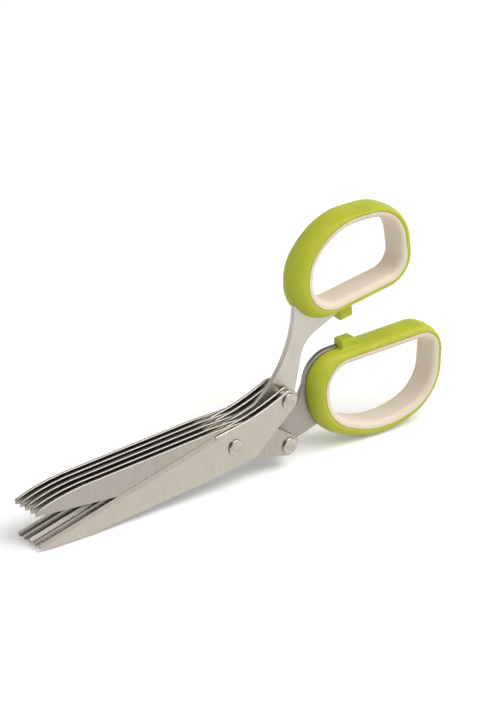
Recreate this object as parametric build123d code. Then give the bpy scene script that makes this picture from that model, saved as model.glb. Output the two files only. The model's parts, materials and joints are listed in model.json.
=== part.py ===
"""Herb scissors: five pairs of blades on one pivot, closed by two moulded finger loops.

Both levers are drawn closed, with the pivot at the origin, the blade axis along X and the tips
towards -X. A lever is named after its handle: the thumb lever carries the upper loop and the
blades that lie below, the finger lever carries the lower loop and the blades that lie above.
The levers are then opened and set down on a table, on the lower blades' backs and the finger loop.
"""
from build123d import *
from dataclasses import dataclass
from math import asin, atan2, cos, hypot, pi, radians, sin, tan
import os

# Blades, in millimetres
BLADE_LENGTH = 95.8
BLADE_THICKNESS = 1.15
CENTRE_BLADE_THICKNESS = 1.5
SPINE_HEIGHT = 9.2
SPINE_LEVEL_START = 10.0
SPINE_LEVEL_END = 9.5
SPINE_CORNER_RADIUS = 6.0
TIP_SPINE_HEIGHT = 0.75
TIP_EDGE_DEPTH = 1.0
HEEL_SETBACK = 8.5
HEEL_DEPTH = 8.5
SHOULDER_REACH = 3.0
SHOULDER_DEPTH = 8.7
SHOULDER_SAG = 0.8
# Direction, in degrees from the blade axis, in which the hollow behind the heel meets the tail
TAIL_FLARE = 110
BEVEL_HEIGHT = 1.7
EDGE_LAND = 0.3
# Points of the blade's back, as shares of its length and of the spine's height
SPINE_SHARES = ((0.90, 0.40), (0.69, 0.675), (0.40, 0.88))

# Stack of blade pairs, which washers keep apart
PAIR_GAP = 0.8
SLIDE_CLEARANCE = 0.05
WASHER_RADIUS = 4.6

# Rivets: one pivot, and one at each lever's tail
PIVOT_PIN_RADIUS = 2.1
PIVOT_CLEARANCE = 0.05
TAIL_REACH = 28.1
TAIL_DROP = 8.15
TAIL_RADIUS = 4.5
TAIL_PIN_RADIUS = 1.6
SPACER_RADIUS = 3.3
HEAD_RADIUS = 3.6
HEAD_HEIGHT = 0.95
HEAD_EDGE_RADIUS = 0.6

# Tangs: the centre blades run on into the loops, thicker from a step by the tail rivet on
TANG_THICKNESS = 2.4
TANG_STEP_DISTANCE = 3.6
TANG_ROOT_REACH = 14.4
TANG_BACK_SAG = 5.5
TANG_FOOT_REACH = 34.6
TANG_FOOT_RISE = 5.5
TANG_WAIST_RADIUS = 11.0
# Where the thumb tang's front edge ends, inside the bump stop
TANG_INTO_STOP = 1.0
TANG_STOP_HEIGHT = 32.3
# Corner where the finger tang rises to its hoop, and where its lower edge ends in the grip's wall
FINGER_ROOT_REACH = 36.0
FINGER_ROOT_RISE = 3.0
FINGER_FOOT_REACH = 49.3
FINGER_FOOT_DROP = 6.9
FINGER_TANG_RADIUS = 5.0
HOOP_INSET = 1.2
HOOP_COVER = 0.9
HOOP_PROUD = 0.6
SLOT_PLAY = 0.1
THUMB_HOOP_RUN = 10.0
# Directions, in degrees, in which the tang edges meet the corner of each loop
THUMB_TANG_BACK = 201
FINGER_TANG_TOP = 176
# Slopes, in degrees, of the thumb tang's front edge on both sides of its waist
WAIST_SLOPES = (15.3, 70.4)
# Headings, in degrees, from each tail rivet square to the step in its tang
THUMB_STEP_HEADING = 47
FINGER_STEP_HEADING = 20

# Moulded loops: the liner's wall, and the grip's crowned wall on its thin rim
LOOP_DEPTH = 12.0
LINER_WALL = 2.7
LINER_LIP_RADIUS = 2.2
GRIP_RIM = 0.9
SHORTEST_STRAIGHT = 0.3
# Shares of the half depth at which the crown is drawn: it bulges as a half ellipse
CROWN_SHARES = (-1.0, -0.82, -0.45, 0.0, 0.45, 0.82, 1.0)

# Thumb loop: corners from the flat side's tang end to its far end, then back round the outer side
THUMB_START = 42.8
THUMB_FLAT_HEIGHT = 36.3
THUMB_CORNERS = ((0, 0), (52.0, 0), (52.0, 31.1), (17.6, 37.3), (3.8, 23.5))
THUMB_RADII = (14.5, 9.6, 17.6, 26.5, 16.4)
THUMB_OUTER_RADII = (17.7, 13.5, 20.6, 30.1, 16.7)
THUMB_WALLS = (3.4, 4.0, 1.6, 5.1, 6.9)

# Finger loop: longer, with the blade axis running through it
FINGER_START = 45.5
FINGER_FLAT_HEIGHT = 20.6
FINGER_CORNERS = ((0, 0), (60.0, 0.6), (59.1, -29.2), (31.7, -38.0), (3.0, -26.1))
FINGER_RADII = (11.8, 9.5, 17.8, 41.0, 20.7)
FINGER_OUTER_RADII = (12.0, 13.7, 23.1, 41.8, 24.8)
FINGER_WALLS = (3.1, 3.0, 3.5, 4.4, 5.6)

# Bump stops that meet between the loops when the blades are closed
STOP_LENGTH = 6.7
STOP_DEPTH = 5.4
STOP_RAMP = 5.5
STOP_GAP = 0.2
STOP_ROOT = 2.0
STOP_EDGE_RADIUS = 0.7
STOP_MEET_HEIGHT = 27.7
THUMB_STOP_REACH = 60.8
FINGER_STOP_REACH = 56.9

# How far the blades stand open at rest, in degrees
OPEN_ANGLE = 8.6

OVERRUN = 3.0
SETTLE_STEPS = 8


@dataclass
class Loop:
    """A finger loop: the line where the liner meets the grip, as a rounded outline.

    The corners run from the flat's tang end to its far end, then back round the outer side.
    Walls are the grip's thickness at mid depth, one for the side that follows each corner,
    and the outer radii round the grip's corners there.
    """
    corners: list
    radii: tuple
    outer_radii: tuple
    walls: tuple


def placed(reach, height, offsets):
    return [(reach + along, height + across) for along, across in offsets]


THUMB_LOOP = Loop(
    placed(THUMB_START, THUMB_FLAT_HEIGHT, THUMB_CORNERS), THUMB_RADII, THUMB_OUTER_RADII, THUMB_WALLS
)
FINGER_LOOP = Loop(
    placed(FINGER_START, FINGER_FLAT_HEIGHT, FINGER_CORNERS), FINGER_RADII, FINGER_OUTER_RADII, FINGER_WALLS
)


# Plane geometry: points are (x, z) pairs in the plane of the blades

def slab(sketch, front, back):
    """Extrude a sketch of the blade plane between two depths."""
    return extrude(Plane.XZ.offset(-back) * sketch, back - front, dir=(0, -1, 0))


def disc(centre, radius):
    return Pos(*centre) * Circle(radius)


def window(x0, x1, z0, z1):
    return Pos((x0 + x1) / 2, (z0 + z1) / 2) * Rectangle(x1 - x0, z1 - z0)


def rounded_at(sketch, point, radius):
    """The sketch with its vertex nearest to a point rounded."""
    return fillet(sketch.vertices().sort_by_distance((*point, 0))[0], radius)


def on_circle(centre, radius, angle):
    return (centre[0] + radius * cos(radians(angle)), centre[1] + radius * sin(radians(angle)))


def tangent_point(start, centre, radius, side):
    """Where a line from start touches a circle on its left (side 1) or on its right (side -1)."""
    reach = hypot(centre[0] - start[0], centre[1] - start[1])
    heading = atan2(centre[1] - start[1], centre[0] - start[0]) + side * asin(radius / reach)
    run = (reach**2 - radius**2) ** 0.5
    return (start[0] + run * cos(heading), start[1] + run * sin(heading))


def crossing(first, first_slope, second, second_slope):
    """Where a line through one point meets a line through another; slopes are in degrees."""
    rise_a, rise_b = tan(radians(first_slope)), tan(radians(second_slope))
    x = (second[1] - first[1] + rise_a * first[0] - rise_b * second[0]) / (rise_a - rise_b)
    return (x, first[1] + rise_a * (x - first[0]))


def grown_corners(corners, amounts):
    """Corners of an outline after each side moves outwards by its own amount."""
    count = len(corners)
    middle = (sum(x for x, _ in corners) / count, sum(z for _, z in corners) / count)
    lines = []
    for index, amount in enumerate(amounts):
        (x0, z0), (x1, z1) = corners[index], corners[(index + 1) % count]
        length = hypot(x1 - x0, z1 - z0)
        normal = ((z1 - z0) / length, (x0 - x1) / length)
        level = normal[0] * x0 + normal[1] * z0
        if normal[0] * middle[0] + normal[1] * middle[1] > level:
            normal, level = (-normal[0], -normal[1]), -level
        lines.append((normal, level + amount))
    grown = []
    for index in range(count):
        (a, level_a), (b, level_b) = lines[index - 1], lines[index]
        cross = a[0] * b[1] - a[1] * b[0]
        grown.append(((level_a * b[1] - level_b * a[1]) / cross, (a[0] * level_b - b[0] * level_a) / cross))
    return grown


def corner_arc(before, corner, after, radius):
    """Start, middle and end of the arc that rounds a corner, and the arc's centre."""
    to_before = atan2(before[1] - corner[1], before[0] - corner[0])
    to_after = atan2(after[1] - corner[1], after[0] - corner[0])
    turn = (to_after - to_before + pi) % (2 * pi) - pi
    run, reach = radius / tan(abs(turn) / 2), radius / sin(abs(turn) / 2)
    headings = (to_before, to_before + turn / 2, to_after, to_before + turn / 2)
    distances = (run, reach - radius, run, reach)
    return [(corner[0] + d * cos(h), corner[1] + d * sin(h)) for h, d in zip(headings, distances)]


def fitted_radii(corners, radii):
    """The radii, reduced where the arcs at both ends of a side would run into each other."""
    following = corners[1:] + corners[:1]
    fitted = list(radii)
    for index, corner in enumerate(corners):
        starts = [corner_arc(corners[i - 1], corners[i], following[i], fitted[i])[0] for i in (index - 1, index)]
        run_before, run_after = (hypot(s[0] - c[0], s[1] - c[1]) for s, c in zip(starts, (corners[index - 1], corner)))
        side = hypot(corner[0] - corners[index - 1][0], corner[1] - corners[index - 1][1])
        crowding = (run_before + run_after) / (side - SHORTEST_STRAIGHT)
        if crowding > 1:
            fitted[index - 1] /= crowding
            fitted[index] /= crowding
    return fitted


def grown_radius(loop, amounts, index):
    """A corner's radius in a loop grown by one amount a side: the outer radius once it is a wall out."""
    growth = (amounts[index - 1] + amounts[index]) / 2
    if growth <= 0:
        return loop.radii[index] + growth
    wall = (loop.walls[index - 1] + loop.walls[index]) / 2
    return loop.radii[index] + (loop.outer_radii[index] - loop.radii[index]) * growth / wall


def loop_arcs(loop, amounts):
    """The corner arcs of a loop grown by one amount a side, and their radii."""
    corners = grown_corners(loop.corners, amounts)
    grown = [grown_radius(loop, amounts, index) for index in range(len(corners))]
    radii = fitted_radii(corners, grown)
    following = corners[1:] + corners[:1]
    arcs = [corner_arc(corners[i - 1], corners[i], following[i], radius) for i, radius in enumerate(radii)]
    return arcs, radii


def loop_face(loop, amounts):
    """The rounded outline of a loop, drawn clockwise for both loops so that lofts come out solid."""
    arcs = [(start, middle, end) for start, middle, end, _ in loop_arcs(loop, amounts)[0]]
    if loop.corners[2][1] > loop.corners[0][1]:
        arcs = [(end, middle, start) for start, middle, end in reversed(arcs)]
    edges = []
    for (start, middle, end), following in zip(arcs, arcs[1:] + arcs[:1]):
        edges += [ThreePointArc(start, middle, end), Line(end, following[0])]
    return make_face(edges)


def even(loop, amount):
    return (amount,) * len(loop.walls)


def tang_corner(loop):
    """Centre and radius of the grip's outer arc at the corner where the tang comes in."""
    arcs, radii = loop_arcs(loop, loop.walls)
    return arcs[0][3], radii[0]


# The stack. Pair 0 is the centre one, side -1 the blade in front of the plane where a pair meets.

PAIRS = (-2, -1, 0, 1, 2)


def thickness(pair):
    return CENTRE_BLADE_THICKNESS if pair == 0 else BLADE_THICKNESS


def meeting_depth(pair):
    """Depth of the plane where the two blades of a pair slide on each other."""
    step = 1 if pair > 0 else -1
    return sum(step * (thickness(k - step) + PAIR_GAP + thickness(k)) for k in range(step, pair + step, step)) \
        if pair else 0.0


def blade_depths(pair, side):
    """Inner face, on the meeting plane, and outer face of a blade."""
    meet = meeting_depth(pair)
    return meet + side * SLIDE_CLEARANCE / 2, meet + side * thickness(pair)


STACK_HALF = meeting_depth(PAIRS[-1]) + BLADE_THICKNESS
BEYOND = STACK_HALF + OVERRUN


# Blades. side is 1 for the finger lever, whose blades have their backs on top, and -1 for the
# thumb lever, whose blades are the same turned over.

def tail_centre(side):
    return (TAIL_REACH, -side * TAIL_DROP)


def blade_sketch(side):
    tip_back = (-BLADE_LENGTH, side * TIP_SPINE_HEIGHT)
    tip_edge = (-BLADE_LENGTH, -side * TIP_EDGE_DEPTH)
    level_start = (-SPINE_LEVEL_START, side * SPINE_HEIGHT)
    level_end = (SPINE_LEVEL_END, side * SPINE_HEIGHT)
    heel = (-HEEL_SETBACK, -side * HEEL_DEPTH)
    shoulder = (SHOULDER_REACH, -side * SHOULDER_DEPTH)
    belly = [(-along * BLADE_LENGTH, side * rise * SPINE_HEIGHT) for along, rise in SPINE_SHARES]
    tail = tail_centre(side)
    back_touch = tangent_point(level_end, tail, TAIL_RADIUS, side)
    edge_touch = on_circle(tail, TAIL_RADIUS, -side * TAIL_FLARE)
    hollow = ((edge_touch[0] + shoulder[0]) / 2, (edge_touch[1] + shoulder[1]) / 2 + side * SHOULDER_SAG)
    outline = [
        Spline(tip_back, *belly, level_start),
        Polyline(level_start, level_end, back_touch, edge_touch),
        ThreePointArc(edge_touch, hollow, shoulder),
        Polyline(shoulder, heel, tip_edge, tip_back),
    ]
    return rounded_at(make_face(outline) + disc(tail, TAIL_RADIUS), level_end, SPINE_CORNER_RADIUS)


def bevel(pair, side):
    """The wedge that is ground off a blade's outer face along its cutting edge."""
    inner, outer = blade_depths(pair, side)
    heel = (-HEEL_SETBACK, -side * HEEL_DEPTH)
    tip = (-BLADE_LENGTH, -side * TIP_EDGE_DEPTH)
    length = hypot(tip[0] - heel[0], tip[1] - heel[1])
    along = ((tip[0] - heel[0]) / length, (tip[1] - heel[1]) / length)
    into = (side * along[1], -side * along[0])
    land = inner + side * EDGE_LAND
    below = outer + (land - outer) * (1 + OVERRUN / BEVEL_HEIGHT)
    section = ((BEVEL_HEIGHT, outer), (-OVERRUN, below), (-OVERRUN, outer + side * OVERRUN),
               (BEVEL_HEIGHT, outer + side * OVERRUN))
    points = [(heel[0] + into[0] * up, depth, heel[1] + into[1] * up) for up, depth in section]
    wedge = make_face(Polyline(*points, close=True))
    return extrude(wedge, length + OVERRUN, dir=(along[0], 0, along[1]))


def holes(side):
    """Bores for the pivot rivet, which holds the finger lever tight, and for the lever's tail rivet."""
    pivot_bore = PIVOT_PIN_RADIUS + (0 if side > 0 else PIVOT_CLEARANCE)
    return slab(disc((0, 0), pivot_bore) + disc(tail_centre(side), TAIL_PIN_RADIUS), -BEYOND, BEYOND)


def blade(pair, side, outline):
    front, back = sorted(blade_depths(pair, side))
    return slab(outline, front, back) - bevel(pair, side) - holes(side)


# Tangs and the hoops by which they are held inside the loops

def thumb_tang_sketch():
    """The sickle-backed plate from the tail up to the thumb loop, with a waist in its front edge."""
    centre, radius = tang_corner(THUMB_LOOP)
    root = (TANG_ROOT_REACH, SPINE_HEIGHT)
    back_end = on_circle(centre, radius, THUMB_TANG_BACK)
    front_end = (THUMB_STOP_REACH + TANG_INTO_STOP, TANG_STOP_HEIGHT)
    foot = (TANG_FOOT_REACH, TANG_FOOT_RISE)
    waist = crossing(front_end, WAIST_SLOPES[0], foot, WAIST_SLOPES[1])
    chord = hypot(back_end[0] - root[0], back_end[1] - root[1])
    across = ((back_end[1] - root[1]) / chord, (root[0] - back_end[0]) / chord)
    sag = tuple((start + end) / 2 + lean * TANG_BACK_SAG for start, end, lean in zip(root, back_end, across))
    outline = [
        ThreePointArc(root, sag, back_end),
        Polyline(back_end, centre, front_end, waist, foot, tail_centre(-1), (0, 0), root),
    ]
    return rounded_at(make_face(outline), waist, TANG_WAIST_RADIUS)


def finger_tang_sketch():
    """The short broad plate from the tail into the finger loop."""
    centre, radius = tang_corner(FINGER_LOOP)
    tail = tail_centre(1)
    top_end = on_circle(centre, radius + HOOP_PROUD, FINGER_TANG_TOP)
    foot = (FINGER_FOOT_REACH, -FINGER_FOOT_DROP)
    touch = tangent_point(foot, tail, TAIL_RADIUS, 1)
    root = (FINGER_ROOT_REACH, FINGER_ROOT_RISE)
    outline = Polyline(top_end, centre, foot, touch, tail, (0, 0), root, close=True)
    return rounded_at(make_face(outline), root, FINGER_TANG_RADIUS)


def hoop_sketch(loop, cover, reach):
    """The part of a plate inside its loop's wall: cover is how deep its outer edge lies."""
    outer = loop_face(loop, [wall - cover for wall in loop.walls])
    centre, radius = tang_corner(loop)
    span = radius + OVERRUN
    return outer & window(centre[0] - span, reach, centre[1] - span, centre[1] + span)


def thumb_tang(play=0.0):
    """The thumb lever's tang and the hoop that ends hidden in its loop; play widens it for a slot."""
    reach = tang_corner(THUMB_LOOP)[0][0] + THUMB_HOOP_RUN + play
    hoop = hoop_sketch(THUMB_LOOP, HOOP_COVER - play, reach)
    return (thumb_tang_sketch() + hoop) - loop_face(THUMB_LOOP, even(THUMB_LOOP, HOOP_INSET - play))


def finger_tang(play=0.0):
    """The finger lever's tang; its hoop stands proud of the grip from the tang up to the bump stop."""
    centre, radius = tang_corner(FINGER_LOOP)
    reach = FINGER_STOP_REACH + STOP_ROOT + play
    above_tang = window(0, reach, centre[1], centre[1] + 2 * radius)
    hoop = hoop_sketch(FINGER_LOOP, HOOP_COVER - play, reach)
    hoop += hoop_sketch(FINGER_LOOP, -HOOP_PROUD - play, reach) & above_tang
    return (finger_tang_sketch() + hoop) - loop_face(FINGER_LOOP, even(FINGER_LOOP, HOOP_INSET - play))


def tang_depths(side):
    return sorted((blade_depths(0, side)[0], side * TANG_THICKNESS))


def centre_blade(side, tang, step_heading):
    """The centre blade: a plate as thick as its tang, thinned from the step by the tail rivet on."""
    reach = 2 * BLADE_LENGTH
    up_to_step = Pos(TANG_STEP_DISTANCE - reach / 2, 0) * Rectangle(reach, 2 * reach)
    up_to_step = Pos(*tail_centre(side)) * Rot(0, 0, step_heading) * up_to_step
    excess = slab(up_to_step, *sorted((blade_depths(0, side)[1], side * BEYOND)))
    return slab(blade_sketch(side) + tang, *tang_depths(side)) - excess - bevel(0, side) - holes(side)


# Moulded loops

def liner(loop):
    """The pale sleeve inside a loop, with rounded lips front and back."""
    half = LOOP_DEPTH / 2
    sleeve = slab(loop_face(loop, even(loop, 0)) - loop_face(loop, even(loop, -LINER_WALL)), -half, half)
    rims = sleeve.faces().filter_by(Axis.Y)
    return fillet([edge for rim in rims for edge in rim.inner_wires()[0].edges()], LINER_LIP_RADIUS)


def crown_walls(loop, share):
    rise = (1 - share**2) ** 0.5
    return [GRIP_RIM + (wall - GRIP_RIM) * rise for wall in loop.walls]


def grip(loop, stop, slot):
    """The crowned outer moulding of a loop, with its bump stop, cut away for liner and tang."""
    half = LOOP_DEPTH / 2
    sections = [Plane.XZ.offset(-share * half) * loop_face(loop, crown_walls(loop, share)) for share in CROWN_SHARES]
    seat = slab(loop_face(loop, even(loop, 0)), -half - OVERRUN, half + OVERRUN)
    return (loft(sections) + stop) - seat - slot


def stop_block(outline, meeting_face):
    """A bump stop drawn in the blade plane, with rounded edges; meeting_face is its place in Z order."""
    block = slab(outline, -STOP_DEPTH / 2, STOP_DEPTH / 2)
    edges = block.edges().filter_by(Axis.Z) + block.faces().sort_by(Axis.Z)[meeting_face].edges()
    return fillet(edges, STOP_EDGE_RADIUS)


def thumb_stop():
    face = STOP_MEET_HEIGHT + STOP_GAP / 2
    root = THUMB_FLAT_HEIGHT - THUMB_WALLS[0] + STOP_ROOT
    return stop_block(window(THUMB_STOP_REACH, THUMB_STOP_REACH + STOP_LENGTH, face, root), 0)


def finger_stop():
    face = STOP_MEET_HEIGHT - STOP_GAP / 2
    root = FINGER_FLAT_HEIGHT + FINGER_WALLS[0] - STOP_ROOT
    start, end = FINGER_STOP_REACH, FINGER_STOP_REACH + STOP_LENGTH
    profile = Polyline((start, root), (start, face), (end, face), (end + STOP_RAMP, root), close=True)
    return stop_block(make_face(profile), -1)


# Rivets, spacers and washers

def rivet(centre, pin_radius, front, back):
    """A pin with a flat, round-edged head pressed up at each end."""
    front_head = slab(disc(centre, HEAD_RADIUS), front - HEAD_HEIGHT, front)
    back_head = slab(disc(centre, HEAD_RADIUS), back, back + HEAD_HEIGHT)
    front_head = fillet(front_head.edges().sort_by(Axis.Y)[0], HEAD_EDGE_RADIUS)
    back_head = fillet(back_head.edges().sort_by(Axis.Y)[-1], HEAD_EDGE_RADIUS)
    return slab(disc(centre, pin_radius), front, back) + front_head + back_head


def tail_rivet(side):
    front = min(blade_depths(PAIRS[0], side))
    back = max(blade_depths(PAIRS[-1], side))
    return rivet(tail_centre(side), TAIL_PIN_RADIUS, front, back)


def pivot_rivet():
    """It is pressed into the finger lever, so only its front head stands clear of a turning blade."""
    return rivet((0, 0), PIVOT_PIN_RADIUS, -STACK_HALF - SLIDE_CLEARANCE, STACK_HALF)


def spacer(pair, side):
    """A round spacer on a tail rivet, between a lever's blade of this pair and its next one."""
    ring = disc(tail_centre(side), SPACER_RADIUS) - disc(tail_centre(side), TAIL_PIN_RADIUS)
    return slab(ring, max(blade_depths(pair, side)), min(blade_depths(pair + 1, side)))


def washer(pair):
    """A thin washer on the pivot, behind the finger lever's blade of this pair."""
    ring = disc((0, 0), WASHER_RADIUS) - disc((0, 0), PIVOT_PIN_RADIUS + PIVOT_CLEARANCE)
    return slab(ring, max(blade_depths(pair, 1)), min(blade_depths(pair + 1, -1)) - SLIDE_CLEARANCE)


# The two levers, closed

def lever(side, place, handle, loop, tang, step_heading, stop):
    """All pieces of one lever but the pivot's, by name; tang draws its centre blade's tang."""
    outline = blade_sketch(side)
    pieces = {f"{place}_centre_blade": centre_blade(side, tang(), step_heading)}
    for number, pair in enumerate(PAIRS, 1):
        if pair:
            pieces[f"{place}_blade_{number}"] = blade(pair, side, outline)
    for number, pair in enumerate(PAIRS[:-1], 1):
        pieces[f"{handle}_spacer_{number}"] = spacer(pair, side)
    pieces[f"{handle}_tail_rivet"] = tail_rivet(side)
    pieces[f"{handle}_liner"] = liner(loop)
    pieces[f"{handle}_grip"] = grip(loop, stop, slab(tang(SLOT_PLAY), *tang_depths(side)))
    return pieces


# Rest: the blades stand open, and the whole leans until it touches the table at both ends

def turned(shape, angle):
    """Turn a closed-pose solid about the pivot, handles upwards for a positive angle."""
    return Rot(0, -angle, 0) * shape


def settled_tilt():
    """Tilt, in degrees, at which the lower blades' backs and the finger loop reach the same level."""
    blade_outline = blade_sketch(-1)
    loop_outline = loop_face(FINGER_LOOP, FINGER_LOOP.walls)
    span = BLADE_LENGTH + FINGER_START + FINGER_CORNERS[1][0] / 2
    tilt = 0.0
    for _ in range(SETTLE_STEPS):
        blade_low = (Rot(0, 0, tilt + OPEN_ANGLE / 2) * blade_outline).bounding_box().min.Y
        loop_low = (Rot(0, 0, tilt - OPEN_ANGLE / 2) * loop_outline).bounding_box().min.Y
        tilt += atan2(blade_low - loop_low, span) * 180 / pi
    return tilt


def main():
    thumb = lever(-1, "lower", "thumb", THUMB_LOOP, thumb_tang, THUMB_STEP_HEADING, thumb_stop())
    finger = lever(1, "upper", "finger", FINGER_LOOP, finger_tang, FINGER_STEP_HEADING, finger_stop())
    finger["pivot_rivet"] = pivot_rivet()
    for number, pair in enumerate(PAIRS[:-1], 1):
        finger[f"pivot_washer_{number}"] = washer(pair)

    tilt = settled_tilt()
    rest = {name: turned(piece, tilt + OPEN_ANGLE / 2) for name, piece in thumb.items()}
    rest |= {name: turned(piece, tilt - OPEN_ANGLE / 2) for name, piece in finger.items()}
    box = Compound(children=[piece for shape in rest.values() for piece in shape.solids()]).bounding_box()
    shift = Pos(-box.center().X, -box.center().Y, -box.min.Z)
    os.makedirs("parts", exist_ok=True)
    for name, piece in rest.items():
        export_step(shift * piece, f"parts/{name}.step")
    pivot = shift.position
    print(f"tilt {tilt:.2f} degrees, pivot at {pivot.X:.3f}, {pivot.Y:.3f}, {pivot.Z:.3f}")
    print(f"size {box.size.X:.2f} x {box.size.Y:.2f} x {box.size.Z:.2f}, {len(rest)} nodes")


if __name__ == "__main__":
    main()
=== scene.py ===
import json
from math import cos, pi, radians, sin

import bmesh
import bpy
from bpy.props import FloatProperty, FloatVectorProperty, IntProperty, PointerProperty
from mathutils import Matrix, Vector


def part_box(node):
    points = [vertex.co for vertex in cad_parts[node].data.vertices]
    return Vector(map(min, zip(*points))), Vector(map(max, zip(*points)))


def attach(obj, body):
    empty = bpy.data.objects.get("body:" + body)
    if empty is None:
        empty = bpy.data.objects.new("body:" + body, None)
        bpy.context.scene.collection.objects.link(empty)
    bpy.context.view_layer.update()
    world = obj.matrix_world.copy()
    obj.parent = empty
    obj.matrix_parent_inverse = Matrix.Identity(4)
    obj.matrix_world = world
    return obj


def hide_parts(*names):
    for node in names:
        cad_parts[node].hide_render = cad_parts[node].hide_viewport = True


bl_info = {
    "name": "Herb Scissors",
    "version": (1, 0, 0),
    "blender": (4, 5, 0),
    "location": "3D View > Sidebar > Scissors",
    "description": "Dresses five-blade herb scissors with brushed steel, soft grips and liners",
    "category": "Object",
}

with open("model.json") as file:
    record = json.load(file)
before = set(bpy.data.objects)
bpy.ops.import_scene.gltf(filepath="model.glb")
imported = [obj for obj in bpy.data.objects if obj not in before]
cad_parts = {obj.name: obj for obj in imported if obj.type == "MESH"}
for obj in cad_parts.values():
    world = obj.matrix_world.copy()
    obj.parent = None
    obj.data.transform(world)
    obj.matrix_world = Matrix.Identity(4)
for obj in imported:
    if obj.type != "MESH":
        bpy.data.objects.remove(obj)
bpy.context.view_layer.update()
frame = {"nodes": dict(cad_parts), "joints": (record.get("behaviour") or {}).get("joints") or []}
PIVOT = Vector(frame["joints"][0]["pos_m"])

# Degrees: each lever leans by the tilt of the pair, plus or minus half of the opening between the two
TILT = 5.079
HALF_OPENING = 4.3
THUMB_LEVER_TURN = radians(TILT + HALF_OPENING)
FINGER_LEVER_TURN = radians(TILT - HALF_OPENING)
BLADE_NUMBERS = (1, 2, 4, 5)
RING_NUMBERS = (1, 2, 3, 4)

# Spans of values: all, nearly all that a noise texture gives, and most that it gives
WHOLE_SPAN = (0.0, 1.0)
NOISE_SPAN = (0.3, 0.7)
MIDDLE_SPAN = (0.35, 0.65)

# Kinds of noise, each by its detail and roughness
LINE_NOISE = (3.0, 0.7)
SPECK_NOISE = (3.0, 0.6)
CLOUD_NOISE = (3.0, 0.5)
SOFT_NOISE = (2.0, 0.5)
BAND_NOISE = (1.0, 0.5)

# Ground steel: sizes across the grain, through the plate and along the grain, in metres
BAND_SIZE = (0.0032, 0.02, 0.03)
BAND_ROUGHNESS = (-0.05, 0.07)
CLOUD_SIZE = (0.011, 0.011, 0.006)
CLOUD_TURN = radians(25)
CLOUD_SHARE = 0.35

# Tumbled steel of the tangs, and how far behind the pivot grinding gives way to it
TUMBLING_SPAN = (0.002, 0.008)
SATIN_SPECK = 0.0005
SATIN_CLOUD = 0.005
SATIN_ROUGHNESS = (0.05, -0.05)
SATIN_DARK = 0.86
SATIN_DEPTH = 0.000012

# Formed steel of rivets and rings
FORMED_SPECK = 0.0006
FORMED_CLOUD = 0.003
FORMED_ROUGHNESS = (0.14, 0.24)
FORMED_DARK = 0.78
FORMED_DEPTH = 0.000015

# Moulded plastic
PLASTIC_IOR = 1.46
PLASTIC_SPECULAR = 0.28
PLASTIC_CLOUD = 0.012
PLASTIC_UNEVEN = 0.05

# Meshes: corners this close are one, edges this short go, and the turns that part a plate's faces
SAME_CORNER = 0.000002
SHORT_EDGE = 0.00006
RIM_LEAN = 0.5
FLAT_ANGLE = radians(2)
TWIST_ANGLE = radians(1)
BREAK_ANGLE = radians(40)
PLATE_SMOOTH_ANGLE = radians(24)
SMOOTH_ANGLE = radians(30)
HEAD_ARC_STEPS = 6
HEAD_FACE_STEPS = 5

# Room: the ways to its dim corner, far side and ceiling, and the spans over which each fades in
CORNER_WAY = (-0.75, -0.62, 0.2)
CORNER_SPAN = (0.6, 0.9)
FAR_WAY = (0.3, 0.95, 0.0)
FAR_SPAN = (0.1, 0.3)
UP_WAY = (0.0, 0.0, 1.0)
CEILING_SPAN = (0.26, 0.42)


def colour_setting(name, description, default):
    """A colour that can be set in the sidebar."""
    return FloatVectorProperty(
        name=name,
        description=description,
        subtype="COLOR",
        size=3,
        min=0.0,
        max=1.0,
        default=default,
    )


def length_setting(name, description, default):
    """A length in metres that can be set in the sidebar."""
    return FloatProperty(
        name=name, description=description, unit="LENGTH", min=0.0, precision=5, default=default
    )


def share_setting(name, description, default):
    """A share from 0 to 1 that can be set in the sidebar."""
    return FloatProperty(
        name=name, description=description, subtype="FACTOR", min=0.0, max=1.0, default=default
    )


def place_setting(name, description, default):
    """A place in metres that can be set in the sidebar."""
    return FloatVectorProperty(
        name=name, description=description, subtype="TRANSLATION", unit="LENGTH", default=default
    )


def count_setting(name, description, default, least):
    """A whole number that can be set in the sidebar."""
    return IntProperty(name=name, description=description, min=least, default=default)


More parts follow.
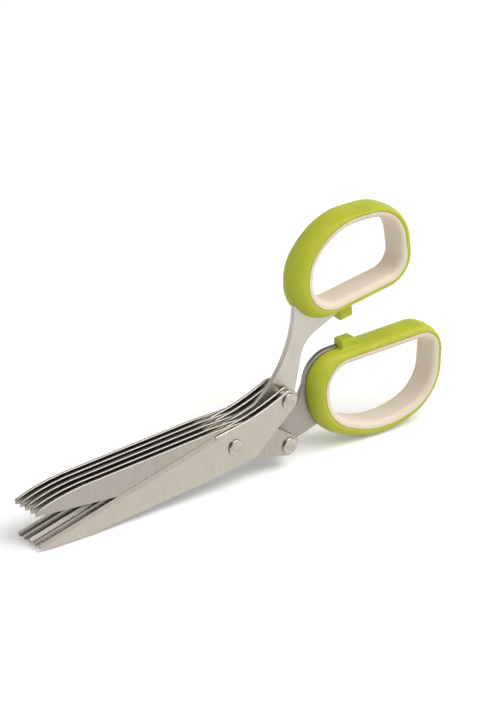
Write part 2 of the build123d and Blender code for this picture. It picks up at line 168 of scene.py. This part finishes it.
class SteelSettings(bpy.types.PropertyGroup):
    """Sizes and colours of the blades, tangs, rivets and rings."""

    blade_colour: colour_setting(
        "Blade colour", "Reflected colour of the brushed blades", (0.50, 0.467, 0.417)
    )
    shaded_colour: colour_setting(
        "Grain colour", "Colour at the bottom of the grain", (0.435, 0.40, 0.36)
    )
    tang_colour: colour_setting(
        "Tang colour", "Reflected colour of the satin tangs", (0.60, 0.563, 0.51)
    )
    rivet_colour: colour_setting(
        "Rivet colour", "Reflected colour of the rivets", (0.51, 0.476, 0.425)
    )
    # Painted shade: the finger lever's blades and tang are painted darker by these shares. They stand in
    # for the shade and the darker table near the floor, because the steel is the same as the thumb
    # lever's.
    finger_painted_shade: share_setting("Finger lever tone", "How bright the finger lever's blades are", 0.82)
    finger_tang_painted_shade: share_setting("Finger tang tone", "How bright the finger lever's tang is", 0.66)
    edge_width: length_setting("Edge width", "Width of the broken edge round each plate", 0.00045)
    edge_steps: count_setting("Edge steps", "Steps across the broken edge", 4, 1)
    full_share: share_setting("Full share", "Edges thinner than this share of the spine stay sharp", 0.9)
    grain_spacing: length_setting("Grain spacing", "Distance between the lines left by grinding", 0.00045)
    grain_reach: length_setting("Grain reach", "Reach of the lines through the plate", 0.004)
    grain_length: length_setting("Grain length", "Length of the lines left by grinding", 0.012)
    grain_depth: length_setting("Grain depth", "Depth of the lines left by grinding", 0.000004)
    roughness: share_setting("Roughness", "Mean roughness of the brushed faces", 0.28)
    tang_roughness: share_setting("Tang roughness", "Mean roughness of the satin tangs", 0.5)
    pivot_shank: length_setting("Pivot shank", "Radius of the pivot rivet's shank", 0.0021)
    tail_shank: length_setting("Tail shank", "Radius of a tail rivet's shank", 0.0016)
    head_radius: length_setting("Head radius", "Radius of a rivet's head", 0.0034)
    head_height: length_setting("Head height", "Height of a rivet's head above the blade", 0.00095)
    head_crown: length_setting("Head crown", "Rise of a rivet head's face in its middle", 0.00003)
    head_edge: length_setting("Head edge", "Radius of the edge round a rivet's head", 0.0005)
    head_foot: length_setting("Head foot", "Width of the chamfer under a rivet's head", 0.00015)
    head_steps: count_setting("Head steps", "Steps in a full turn of a rivet", 72, 24)


class GripSettings(bpy.types.PropertyGroup):
    """Sizes and colours of the loops and their liners."""

    grip_colour: colour_setting("Grip colour", "Lime of the loops", (0.455, 0.49, 0.036))
    grip_shade: colour_setting(
        "Grip shade", "Lime where the moulding is a little darker", (0.41, 0.445, 0.030)
    )
    grip_grain: length_setting("Grip grain", "Size of the fine bumps of the loops' skin", 0.00035)
    grip_grain_depth: length_setting("Grip grain depth", "Height of the loops' fine bumps", 0.000012)
    grip_roughness: share_setting("Grip roughness", "Mean roughness of the loops", 0.45)
    skin_size: length_setting("Skin size", "Width of the facets of the loops' even skin", 0.00032)
    skin_passes: count_setting("Skin passes", "Times that the loops' corners are softened", 8, 0)
    skin_softness: share_setting("Skin softness", "How far one time softens a corner", 0.5)
    liner_colour: colour_setting("Liner colour", "Cream of the sleeves", (0.735, 0.64, 0.52))
    liner_shade: colour_setting(
        "Liner shade", "Cream where the sleeve is a little darker", (0.71, 0.605, 0.48)
    )
    liner_grain: length_setting("Liner grain", "Size of the fine bumps of the sleeves", 0.0005)
    liner_grain_depth: length_setting("Liner grain depth", "Height of the sleeves' fine bumps", 0.00001)
    liner_roughness: share_setting("Liner roughness", "Mean roughness of the sleeves", 0.58)


class StageSettings(bpy.types.PropertyGroup):
    """The floor, the light and the camera."""

    floor_size: length_setting("Floor size", "Distance from the middle of the table to its edge", 4.0)
    floor_colour: colour_setting(
        "Floor colour", "Colour of the table under the scissors", (0.87, 0.865, 0.85)
    )
    floor_lift: FloatProperty(
        name="Floor lift",
        description="Light the floor adds for the camera and in the steel",
        min=0.0,
        default=0.2,
    )
    room_light: FloatProperty(
        name="Room light",
        description="Strength of the pale room all round",
        min=0.0,
        default=0.96,
    )
    dim_ceiling: share_setting(
        "Dim ceiling", "Share of the room's light that its ceiling gives behind", 0.2
    )
    dim_corner: share_setting(
        "Dim corner", "Share of the room's light from its corner left of the camera", 0.2
    )
    key_power: FloatProperty(
        name="Key power",
        description="Power of the large lamp above",
        unit="POWER",
        min=0.0,
        default=10.0,
    )
    key_place: place_setting("Key place", "Where the large lamp hangs", (0.36, -0.5, 1.05))
    key_target: place_setting("Key target", "Where the large lamp points", (0.0, 0.0, 0.03))
    key_width: length_setting("Key width", "Width of the large lamp", 1.3)
    key_height: length_setting("Key height", "Height of the large lamp", 0.6)
    camera_place: place_setting(
        "Camera place", "Where the camera stands", (-1.12734, -1.394453, 0.911842)
    )
    camera_target: place_setting(
        "Camera target", "Where the camera looks", (0.006847, 0.007125, 0.046281)
    )
    camera_roll: FloatProperty(
        name="Camera roll",
        description="Turn of the camera about its view",
        unit="ROTATION",
        default=radians(1.5546),
    )
    camera_lens: FloatProperty(
        name="Camera lens", description="Focal length", unit="CAMERA", default=255.3
    )


SETTINGS = {
    "scissors_steel": SteelSettings,
    "scissors_grips": GripSettings,
    "scissors_stage": StageSettings,
}


def new_finish(name, metallic=0.0):
    """A material with only its shader and output: the material, its node tree and the shader."""
    material = bpy.data.materials.new(name)
    material.use_nodes = True
    tree = material.node_tree
    shader = tree.nodes["Principled BSDF"]
    shader.inputs["Metallic"].default_value = metallic
    return material, tree, shader


def pattern_place(tree, centre, turn, size):
    """Object coordinates from a centre, turned about Y and measured in units of size along each axis."""
    coordinates = tree.nodes.new("ShaderNodeTexCoord")
    place = tree.nodes.new("ShaderNodeMapping")
    place.vector_type = "TEXTURE"
    place.inputs["Location"].default_value = centre
    place.inputs["Rotation"].default_value = (0.0, -turn, 0.0)
    place.inputs["Scale"].default_value = size
    tree.links.new(coordinates.outputs["Object"], place.inputs["Vector"])
    return place.outputs["Vector"]


def noise(tree, place, kind):
    """Noise with one blob per unit of place."""
    detail, roughness = kind
    texture = tree.nodes.new("ShaderNodeTexNoise")
    texture.inputs["Scale"].default_value = 1.0
    texture.inputs["Detail"].default_value = detail
    texture.inputs["Roughness"].default_value = roughness
    tree.links.new(place, texture.inputs["Vector"])
    return texture.outputs["Fac"]


def mottle(tree, size, kind, centre=PIVOT):
    """Noise in blobs as wide as size every way."""
    return noise(tree, pattern_place(tree, centre, 0.0, (size, size, size)), kind)


def ranged(tree, value, span, result=WHOLE_SPAN):
    """A value within span, spread over the result's span."""
    spread = tree.nodes.new("ShaderNodeMapRange")
    for socket, number in zip(("From Min", "From Max", "To Min", "To Max"), (*span, *result)):
        spread.inputs[socket].default_value = number
    tree.links.new(value, spread.inputs["Value"])
    return spread.outputs["Result"]


def combined(tree, operation, first, second):
    """Two values added or multiplied."""
    sum_or_product = tree.nodes.new("ShaderNodeMath")
    sum_or_product.operation = operation
    tree.links.new(first, sum_or_product.inputs[0])
    tree.links.new(second, sum_or_product.inputs[1])
    return sum_or_product.outputs["Value"]


def blended(tree, share, first, second):
    """The colour first where share is 0, and second where it is 1. Either may be a node's colour."""
    mix = tree.nodes.new("ShaderNodeMix")
    mix.data_type = "RGBA"
    tree.links.new(share, mix.inputs[0])
    for socket, colour in ((mix.inputs[6], first), (mix.inputs[7], second)):
        if isinstance(colour, bpy.types.NodeSocket):
            tree.links.new(colour, socket)
        else:
            socket.default_value = (*colour, 1.0)
    return mix.outputs[2]


def bumped(tree, height, distance):
    """Normals of a surface raised by height times distance."""
    bump = tree.nodes.new("ShaderNodeBump")
    bump.inputs["Strength"].default_value = 1.0
    bump.inputs["Distance"].default_value = distance
    tree.links.new(height, bump.inputs["Height"])
    return bump.outputs["Normal"]


def dress(tree, shader, colour, normal, roughness):
    """Link a finish to its shader."""
    tree.links.new(colour, shader.inputs["Base Color"])
    tree.links.new(normal, shader.inputs["Normal"])
    tree.links.new(roughness, shader.inputs["Roughness"])


def toned(colour, tone):
    """A colour with this share of its light."""
    return tuple(part * tone for part in colour)


def ground_lines(tree, turn, tone, settings):
    """The fine lines that grinding leaves across a blade: their height and their colour."""
    size = (settings.grain_spacing, settings.grain_reach, settings.grain_length)
    lines = noise(tree, pattern_place(tree, PIVOT, turn, size), LINE_NOISE)
    # tone darkens both grain colours. On the finger lever it is painted shade.
    dark, bright = toned(settings.shaded_colour, tone), toned(settings.blade_colour, tone)
    return lines, blended(tree, ranged(tree, lines, NOISE_SPAN), dark, bright)


def brushed_steel(name, turn, tone, settings):
    """Plate ground across the blade: fine lines, bands of uneven roughness and soft cloudy patches, all
    darkened by tone, which on the finger lever is painted shade.
    """
    material, tree, shader = new_finish(name, metallic=1.0)
    lines, lined = ground_lines(tree, turn, tone, settings)
    band = noise(tree, pattern_place(tree, PIVOT, turn, BAND_SIZE), BAND_NOISE)
    rough = [settings.roughness + more for more in BAND_ROUGHNESS]
    cloud = noise(tree, pattern_place(tree, PIVOT, turn + CLOUD_TURN, CLOUD_SIZE), SOFT_NOISE)
    cloudy = ranged(tree, cloud, MIDDLE_SPAN, (0.0, CLOUD_SHARE))
    dress(
        tree,
        shader,
        blended(tree, cloudy, lined, toned(settings.blade_colour, tone)),
        bumped(tree, lines, settings.grain_depth),
        ranged(tree, band, NOISE_SPAN, rough),
    )
    return material


def satin_steel(name, turn, tone, tang_painted_shade, settings):
    """A centre plate: ground like the blades towards its tip, tumbled to a mottle towards its loop,
    darkened by its tone shares, which on the finger lever are painted shade.
    """
    material, tree, shader = new_finish(name, metallic=1.0)
    along = tree.nodes.new("ShaderNodeSeparateXYZ")
    tree.links.new(pattern_place(tree, PIVOT, turn, (1.0, 1.0, 1.0)), along.inputs["Vector"])
    lined = ground_lines(tree, turn, tone, settings)[1]
    speck = mottle(tree, SATIN_SPECK, SPECK_NOISE)
    bright = toned(settings.tang_colour, tang_painted_shade)
    dotted = blended(tree, ranged(tree, speck, NOISE_SPAN), toned(bright, SATIN_DARK), bright)
    tumbled = ranged(tree, along.outputs["X"], TUMBLING_SPAN)
    rough = ranged(
        tree, along.outputs["X"], TUMBLING_SPAN, (settings.roughness, settings.tang_roughness)
    )
    uneven = ranged(tree, mottle(tree, SATIN_CLOUD, CLOUD_NOISE), NOISE_SPAN, SATIN_ROUGHNESS)
    dress(
        tree,
        shader,
        blended(tree, tumbled, lined, dotted),
        bumped(tree, speck, SATIN_DEPTH),
        combined(tree, "ADD", rough, uneven),
    )
    return material


def formed_steel(name, centre, settings):
    """Bright steel of rivets and rings: a soft mottle from forming and a light satin."""
    material, tree, shader = new_finish(name, metallic=1.0)
    speck = mottle(tree, FORMED_SPECK, SPECK_NOISE, centre)
    cloud = mottle(tree, FORMED_CLOUD, SOFT_NOISE, centre)
    dark = toned(settings.rivet_colour, FORMED_DARK)
    dress(
        tree,
        shader,
        blended(tree, ranged(tree, cloud, MIDDLE_SPAN), dark, settings.rivet_colour),
        bumped(tree, speck, FORMED_DEPTH),
        ranged(tree, speck, NOISE_SPAN, FORMED_ROUGHNESS),
    )
    return material


def moulded_skin(name, colour, shade, grain, grain_depth, roughness):
    """Moulded plastic: a fine even grain, faint clouds of colour and uneven satin."""
    material, tree, shader = new_finish(name)
    shader.inputs["IOR"].default_value = PLASTIC_IOR
    shader.inputs["Specular IOR Level"].default_value = PLASTIC_SPECULAR
    cloud = mottle(tree, PLASTIC_CLOUD, CLOUD_NOISE)
    rough = (roughness + PLASTIC_UNEVEN, roughness - PLASTIC_UNEVEN)
    dress(
        tree,
        shader,
        blended(tree, ranged(tree, cloud, MIDDLE_SPAN), shade, colour),
        bumped(tree, mottle(tree, grain, SOFT_NOISE), grain_depth),
        ranged(tree, cloud, NOISE_SPAN, rough),
    )
    return material


def merged_copy(node):
    """A bmesh copy of a CAD node, its loose triangles joined into one closed mesh."""
    bm = bmesh.new()
    bm.from_mesh(frame["nodes"][node].data)
    bmesh.ops.remove_doubles(bm, verts=bm.verts, dist=SAME_CORNER)
    return bm


def new_piece(bm, node, ending, body, material, smooth_angle=SMOOTH_ANGLE):
    """The bmesh as a finished piece that rides on a body and stands for a CAD node."""
    name = node + ending
    mesh = bpy.data.meshes.new(name)
    bm.to_mesh(mesh)
    bm.free()
    mesh.materials.append(material)
    mesh.shade_smooth()
    mesh.set_sharp_from_angle(angle=smooth_angle)
    piece = bpy.data.objects.new(name, mesh)
    bpy.context.scene.collection.objects.link(piece)
    even = piece.modifiers.new("Flat faces stay flat", "WEIGHTED_NORMAL")
    even.keep_sharp = True
    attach(piece, body)
    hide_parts(node)
    return piece


def is_rim(face):
    """Whether a face is part of a plate's rim, not of its front or back."""
    return abs(face.normal.y) < RIM_LEAN


def depth(face):
    """How far a face reaches through its plate."""
    depths = [vert.co.y for vert in face.verts]
    return max(depths) - min(depths)


def blunt_edges(bm, settings):
    """The outer edges of a plate where it is as thick as its spine, so not its cutting edge and heel."""
    rims = [face for face in bm.faces if is_rim(face)]
    full = settings.full_share * depth(max(rims, key=lambda face: face.calc_area()))
    thin = {face for face in rims if depth(face) < full}
    pairs = [edge for edge in bm.edges if len(edge.link_faces) == 2]
    bends = [edge for edge in pairs if edge.calc_face_angle() > BREAK_ANGLE]
    return [edge for edge in bends if edge.is_convex and thin.isdisjoint(edge.link_faces)]


def add_plate(node, body, material, settings):
    """Add a stamped plate with its edges broken, so that they catch the light."""
    bm = merged_copy(node)
    bmesh.ops.dissolve_degenerate(bm, dist=SHORT_EDGE, edges=bm.edges)
    inner = [vert for vert in bm.verts if all(is_rim(face) for face in vert.link_faces)]
    bmesh.ops.dissolve_verts(bm, verts=inner)
    bmesh.ops.dissolve_limit(bm, angle_limit=FLAT_ANGLE, verts=bm.verts, edges=bm.edges)
    rims = [face for face in bm.faces if is_rim(face) and len(face.verts) > 4]
    bmesh.ops.connect_verts_nonplanar(bm, angle_limit=TWIST_ANGLE, faces=rims)
    bmesh.ops.bevel(
        bm,
        geom=blunt_edges(bm, settings),
        offset=settings.edge_width,
        offset_type="OFFSET",
        segments=settings.edge_steps,
        profile=0.5,
        affect="EDGES",
        material=-1,
        clamp_overlap=False,
    )
    new_piece(bm, node, "_ground", body, material, PLATE_SMOOTH_ANGLE)


class SCISSORS_OT_blades(bpy.types.Operator):
    """Dress the ten blades in ground steel, and the two tangs in tumbled steel"""

    bl_idname = "scissors.blades"
    bl_label = "Blades and tangs"

    def execute(self, context):
        settings = context.scene.scissors_steel
        finger_painted_shade, finger_tang_painted_shade = settings.finger_painted_shade, settings.finger_tang_painted_shade
        # The finger lever's steel is painted darker, as painted shade for its low place by the table. The
        # thumb lever keeps the full colour.
        levers = (
            ("lower", "thumb_lever", THUMB_LEVER_TURN, 1.0, 1.0),
            ("upper", "finger_lever", FINGER_LEVER_TURN, finger_painted_shade, finger_tang_painted_shade),
        )
        for side, body, turn, tone, tang_painted_shade in levers:
            steel = brushed_steel(side + "_blade_steel", turn, tone, settings)
            satin = satin_steel(side + "_centre_steel", turn, tone, tang_painted_shade, settings)
            add_plate(side + "_centre_blade", body, satin, settings)
            for number in BLADE_NUMBERS:
                add_plate(f"{side}_blade_{number}", body, steel, settings)
        return {"FINISHED"}


def rivet_profile(settings, shank_radius, half_length):
    """Points (radius, height) of half a rivet from the middle of its shank to the middle of its head."""
    under = half_length - settings.head_height
    edge, foot, crown = settings.head_edge, settings.head_foot, settings.head_crown
    rim = settings.head_radius - edge
    points = [(shank_radius, 0.0), (shank_radius, under)]
    points += [(settings.head_radius - foot, under), (settings.head_radius, under + foot)]
    for step in range(HEAD_ARC_STEPS + 1):
        turn = radians(90) * step / HEAD_ARC_STEPS
        points.append((rim + edge * cos(turn), half_length - crown - edge + edge * sin(turn)))
    for step in range(1, HEAD_FACE_STEPS + 1):
        share = step / HEAD_FACE_STEPS
        points.append((rim * (1 - share), half_length - crown * (1 - share) ** 2))
    return points


def spun_rivet(node, shank_radius, settings):
    """A rivet turned about Y where the CAD node lies: its mesh and its centre."""
    low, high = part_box(node)
    centre = (low + high) / 2
    half = rivet_profile(settings, shank_radius, (high.y - low.y) / 2)
    outline = [(radius, -height) for radius, height in reversed(half[1:])] + half
    bm = bmesh.new()
    dots = [bm.verts.new(centre + Vector((radius, height, 0))) for radius, height in outline]
    lines = [bm.edges.new(pair) for pair in zip(dots, dots[1:])]
    bmesh.ops.spin(
        bm,
        geom=dots + lines,
        cent=centre,
        axis=(0, 1, 0),
        angle=2 * pi,
        steps=settings.head_steps,
        use_merge=True,
    )
    bmesh.ops.remove_doubles(bm, verts=bm.verts, dist=SAME_CORNER)
    bmesh.ops.recalc_face_normals(bm, faces=bm.faces)
    return bm, centre


class SCISSORS_OT_rivets(bpy.types.Operator):
    """Spin the pivot rivet and the two tail rivets with slightly crowned heads"""

    bl_idname = "scissors.rivets"
    bl_label = "Rivets"

    def execute(self, context):
        settings = context.scene.scissors_steel
        rivets = (
            ("pivot_rivet", "finger_lever", settings.pivot_shank),
            ("thumb_tail_rivet", "thumb_lever", settings.tail_shank),
            ("finger_tail_rivet", "finger_lever", settings.tail_shank),
        )
        for node, body, shank_radius in rivets:
            bm, centre = spun_rivet(node, shank_radius, settings)
            steel = formed_steel(node + "_steel", centre, settings)
            new_piece(bm, node, "_formed", body, steel)
        return {"FINISHED"}


class SCISSORS_OT_rings(bpy.types.Operator):
    """Give the spacer rings and pivot washers their satin steel"""

    bl_idname = "scissors.rings"
    bl_label = "Spacers and washers"

    def execute(self, context):
        settings = context.scene.scissors_steel
        for stem in ("thumb_spacer", "finger_spacer", "pivot_washer"):
            for number in RING_NUMBERS:
                node = frame["nodes"][f"{stem}_{number}"]
                low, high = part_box(node.name)
                steel = formed_steel(node.name + "_steel", (low + high) / 2, settings)
                node.data.materials.clear()
                node.data.materials.append(steel)
        return {"FINISHED"}


class SCISSORS_OT_grips(bpy.types.Operator):
    """Dress the two loops in soft lime plastic with rounded corners"""

    bl_idname = "scissors.grips"
    bl_label = "Grips"

    def execute(self, context):
        settings = context.scene.scissors_grips
        lime = moulded_skin(
            "lime_soft_grip",
            settings.grip_colour,
            settings.grip_shade,
            settings.grip_grain,
            settings.grip_grain_depth,
            settings.grip_roughness,
        )
        for side in ("thumb", "finger"):
            node = side + "_grip"
            piece = new_piece(merged_copy(node), node, "_moulded", side + "_lever", lime)
            skin = piece.modifiers.new("Even skin", "REMESH")
            skin.mode = "VOXEL"
            skin.voxel_size = settings.skin_size
            skin.use_smooth_shade = True
            relax = piece.modifiers.new("Soft corners", "SMOOTH")
            relax.factor = settings.skin_softness
            relax.iterations = settings.skin_passes
        return {"FINISHED"}


class SCISSORS_OT_liners(bpy.types.Operator):
    """Dress the sleeves inside the loops in matt cream plastic"""

    bl_idname = "scissors.liners"
    bl_label = "Liners"

    def execute(self, context):
        settings = context.scene.scissors_grips
        cream = moulded_skin(
            "cream_sleeve",
            settings.liner_colour,
            settings.liner_shade,
            settings.liner_grain,
            settings.liner_grain_depth,
            settings.liner_roughness,
        )
        for side in ("thumb", "finger"):
            node = side + "_liner"
            new_piece(merged_copy(node), node, "_moulded", side + "_lever", cream)
        return {"FINISHED"}


def make_floor(settings):
    """A wide pale table, lifted to white for the camera and in the steel, which keeps the soft shadow."""
    bm = bmesh.new()
    bmesh.ops.create_grid(bm, x_segments=1, y_segments=1, size=settings.floor_size)
    mesh = bpy.data.meshes.new("table_top")
    bm.to_mesh(mesh)
    bm.free()
    material, tree, shader = new_finish("pale_table")
    tree.nodes.remove(shader)
    matt = tree.nodes.new("ShaderNodeBsdfDiffuse")
    matt.inputs["Color"].default_value = (*settings.floor_colour, 1.0)
    path = tree.nodes.new("ShaderNodeLightPath")
    shown = combined(tree, "ADD", path.outputs["Is Camera Ray"], path.outputs["Is Glossy Ray"])
    lift = tree.nodes.new("ShaderNodeEmission")
    strength = ranged(tree, shown, WHOLE_SPAN, (0.0, settings.floor_lift))
    tree.links.new(strength, lift.inputs["Strength"])
    both = tree.nodes.new("ShaderNodeAddShader")
    tree.links.new(matt.outputs["BSDF"], both.inputs[0])
    tree.links.new(lift.outputs["Emission"], both.inputs[1])
    tree.links.new(both.outputs["Shader"], tree.nodes["Material Output"].inputs["Surface"])
    mesh.materials.append(material)
    floor = bpy.data.objects.new("table_top", mesh)
    bpy.context.scene.collection.objects.link(floor)


def facing(tree, way):
    """How far a ray into the room looks the given way: 1 for straight there."""
    direction = tree.nodes.new("ShaderNodeTexCoord")
    dot = tree.nodes.new("ShaderNodeVectorMath")
    dot.operation = "DOT_PRODUCT"
    dot.inputs[1].default_value = way
    tree.links.new(direction.outputs["Generated"], dot.inputs[0])
    return dot.outputs["Value"]


def make_world(scene, settings):
    """A pale room, dim in one corner and in the far side's ceiling, and plain white for the camera."""
    world = bpy.data.worlds.new("pale_room")
    world.use_nodes = True
    tree = world.node_tree
    background = tree.nodes["Background"]
    background.inputs["Color"].default_value = (1.0, 1.0, 1.0, 1.0)
    corner = ranged(tree, facing(tree, CORNER_WAY), CORNER_SPAN, (1.0, settings.dim_corner))
    height = ranged(tree, facing(tree, UP_WAY), CEILING_SPAN)
    far = ranged(tree, facing(tree, FAR_WAY), FAR_SPAN)
    behind = combined(tree, "MULTIPLY", height, far)
    ceiling = ranged(tree, behind, WHOLE_SPAN, (1.0, settings.dim_ceiling))
    shade = combined(tree, "MULTIPLY", corner, ceiling)
    room = ranged(tree, shade, WHOLE_SPAN, (0.0, settings.room_light))
    path = tree.nodes.new("ShaderNodeLightPath")
    seen = tree.nodes.new("ShaderNodeMix")
    seen.inputs["B"].default_value = 1.0
    tree.links.new(path.outputs["Is Camera Ray"], seen.inputs["Factor"])
    tree.links.new(room, seen.inputs["A"])
    tree.links.new(seen.outputs["Result"], background.inputs["Strength"])
    scene.world = world


def add_key_lamp(scene, settings):
    """One wide soft lamp above."""
    light = bpy.data.lights.new("key_lamp", "AREA")
    light.shape = "RECTANGLE"
    light.size = settings.key_width
    light.size_y = settings.key_height
    light.energy = settings.key_power
    lamp = bpy.data.objects.new("key_lamp", light)
    scene.collection.objects.link(lamp)
    lamp.location = settings.key_place
    back = Vector(settings.key_place) - Vector(settings.key_target)
    lamp.rotation_euler = back.to_track_quat("Z", "Y").to_euler()


def make_camera(scene, settings):
    """The camera at the photograph's angle."""
    lens = bpy.data.cameras.new("photo_camera")
    lens.lens = settings.camera_lens
    camera = bpy.data.objects.new("photo_camera", lens)
    scene.collection.objects.link(camera)
    back = (Vector(settings.camera_place) - Vector(settings.camera_target)).normalized()
    turn = back.to_track_quat("Z", "Y").to_matrix() @ Matrix.Rotation(settings.camera_roll, 3, "Z")
    camera.matrix_world = Matrix.Translation(settings.camera_place) @ turn.to_4x4()
    scene.camera = camera


class SCISSORS_OT_stage(bpy.types.Operator):
    """Set the pale table, the pale room, the soft lamp and the camera"""

    bl_idname = "scissors.stage"
    bl_label = "Stage"

    def execute(self, context):
        scene = context.scene
        settings = scene.scissors_stage
        make_floor(settings)
        make_world(scene, settings)
        add_key_lamp(scene, settings)
        make_camera(scene, settings)
        scene.view_settings.view_transform = "Standard"
        return {"FINISHED"}


STEPS = (
    SCISSORS_OT_stage,
    SCISSORS_OT_blades,
    SCISSORS_OT_rivets,
    SCISSORS_OT_rings,
    SCISSORS_OT_grips,
    SCISSORS_OT_liners,
)


class SCISSORS_PT_panel(bpy.types.Panel):
    """Steps and settings of the herb scissors"""

    bl_label = "Herb Scissors"
    bl_idname = "SCISSORS_PT_panel"
    bl_space_type = "VIEW_3D"
    bl_region_type = "UI"
    bl_category = "Scissors"

    def draw(self, context):
        for step in STEPS:
            self.layout.operator(step.bl_idname)
        for attribute, group in SETTINGS.items():
            box = self.layout.box()
            for setting in group.__annotations__:
                box.prop(getattr(context.scene, attribute), setting)


def register():
    """Adds the settings, the steps and the panel."""
    for attribute, group in SETTINGS.items():
        bpy.utils.register_class(group)
        setattr(bpy.types.Scene, attribute, PointerProperty(type=group))
    for step in STEPS:
        bpy.utils.register_class(step)
    bpy.utils.register_class(SCISSORS_PT_panel)


def unregister():
    """Takes the settings, the steps and the panel away."""
    bpy.utils.unregister_class(SCISSORS_PT_panel)
    for step in reversed(STEPS):
        bpy.utils.unregister_class(step)
    for attribute, group in SETTINGS.items():
        delattr(bpy.types.Scene, attribute)
        bpy.utils.unregister_class(group)


def main():
    """Builds the whole scene."""
    register()
    bpy.ops.scissors.stage()
    bpy.ops.scissors.blades()
    bpy.ops.scissors.rivets()
    bpy.ops.scissors.rings()
    bpy.ops.scissors.grips()
    bpy.ops.scissors.liners()


if __name__ == "__main__":
    main()
